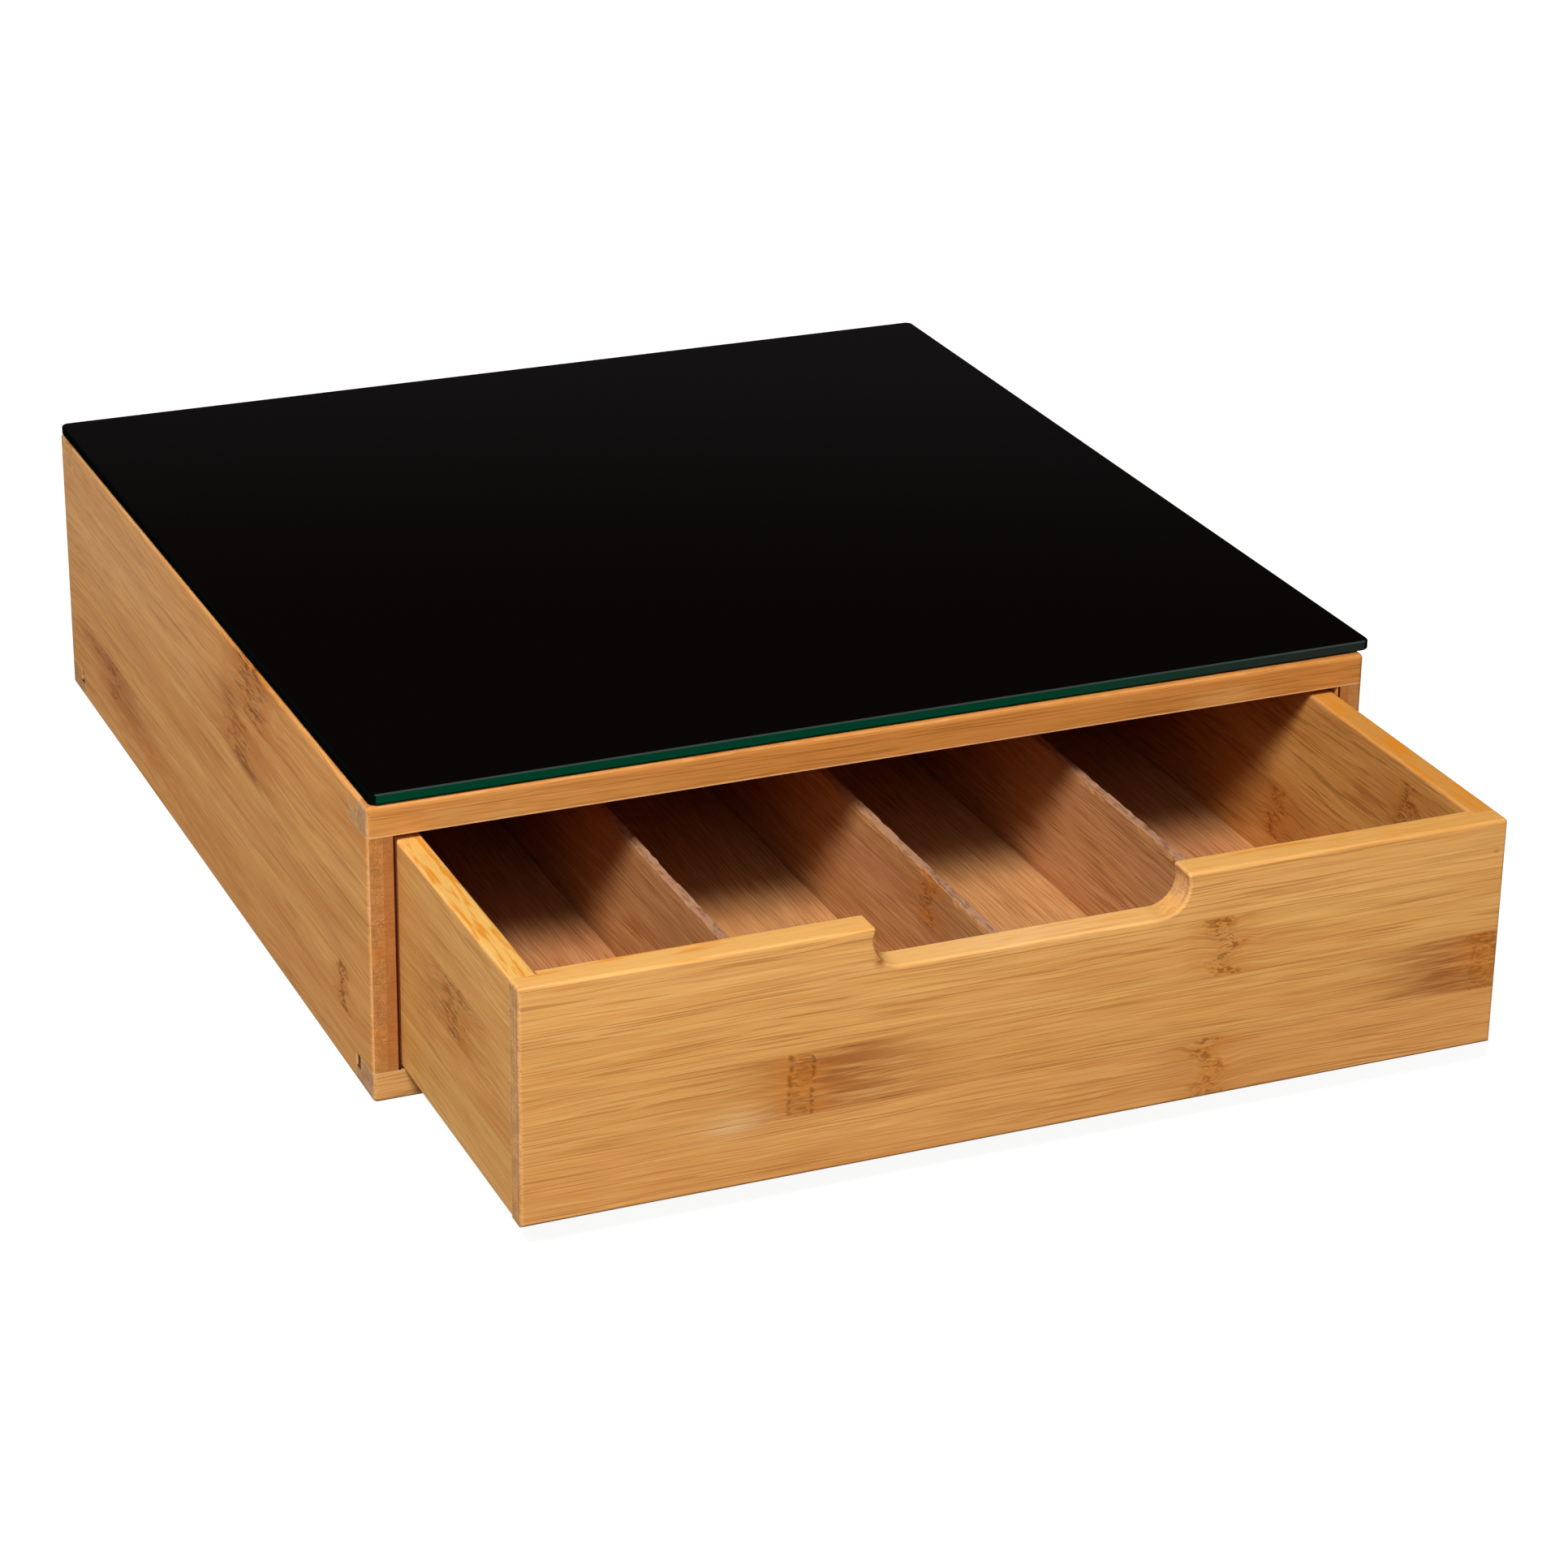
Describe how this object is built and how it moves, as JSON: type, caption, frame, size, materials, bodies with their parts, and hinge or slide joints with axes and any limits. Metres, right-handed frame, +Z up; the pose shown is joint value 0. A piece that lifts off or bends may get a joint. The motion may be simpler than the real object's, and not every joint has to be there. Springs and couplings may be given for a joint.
{
  "type": "coffee capsule drawer",
  "caption": "Bamboo box with a black glass top and one sliding drawer, divided into lanes for coffee capsules and opened by a routed finger slot.",
  "frame": {"origin": "middle of the rectangle that the case stands on", "axes": "+Z up, -Y the way the drawer pulls out, +X to the right seen from the front"},
  "size_m": [0.303, 0.414, 0.091],
  "materials": {
    "case_bamboo": "flat-pressed bamboo strips, clear satin lacquer",
    "drawer_bamboo": "flat-pressed bamboo strips, clear satin lacquer",
    "panel_bamboo": "thin bamboo board, lightly lacquered",
    "raw_bamboo": "sawn and sanded bamboo, no lacquer",
    "black_glass": "float glass, black enamel underneath, ground green edge",
    "clear_glue": "clear double-sided acrylic pad",
    "steel": "bright steel wire"
  },
  "bodies": {
    "case": {"case_left_side": "case_bamboo", "case_right_side": "case_bamboo", "bottom_front_rail": "case_bamboo", "bottom_rear_rail": "case_bamboo", "top_front_rail": "case_bamboo", "top_rear_rail": "case_bamboo", "case_bottom_panel": "panel_bamboo", "case_top_panel": "panel_bamboo", "case_back_panel": "panel_bamboo", "glass_top": "black_glass", "glass_glue_pads": "clear_glue", "bottom_rail_brads": "steel", "top_rail_brads": "steel"},
    "drawer": {"drawer_front": "drawer_bamboo", "drawer_left_side": "drawer_bamboo", "drawer_right_side": "drawer_bamboo", "drawer_back": "drawer_bamboo", "drawer_bottom": "raw_bamboo", "divider_left": "raw_bamboo", "divider_middle": "raw_bamboo", "divider_right": "raw_bamboo", "drawer_back_brads": "steel"}
  },
  "joints": [
    {"name": "drawer_slide", "type": "slide", "parent": "case", "child": "drawer", "axis": [0, -1, 0], "range_m": [-0.094, 0.156]}
  ]
}
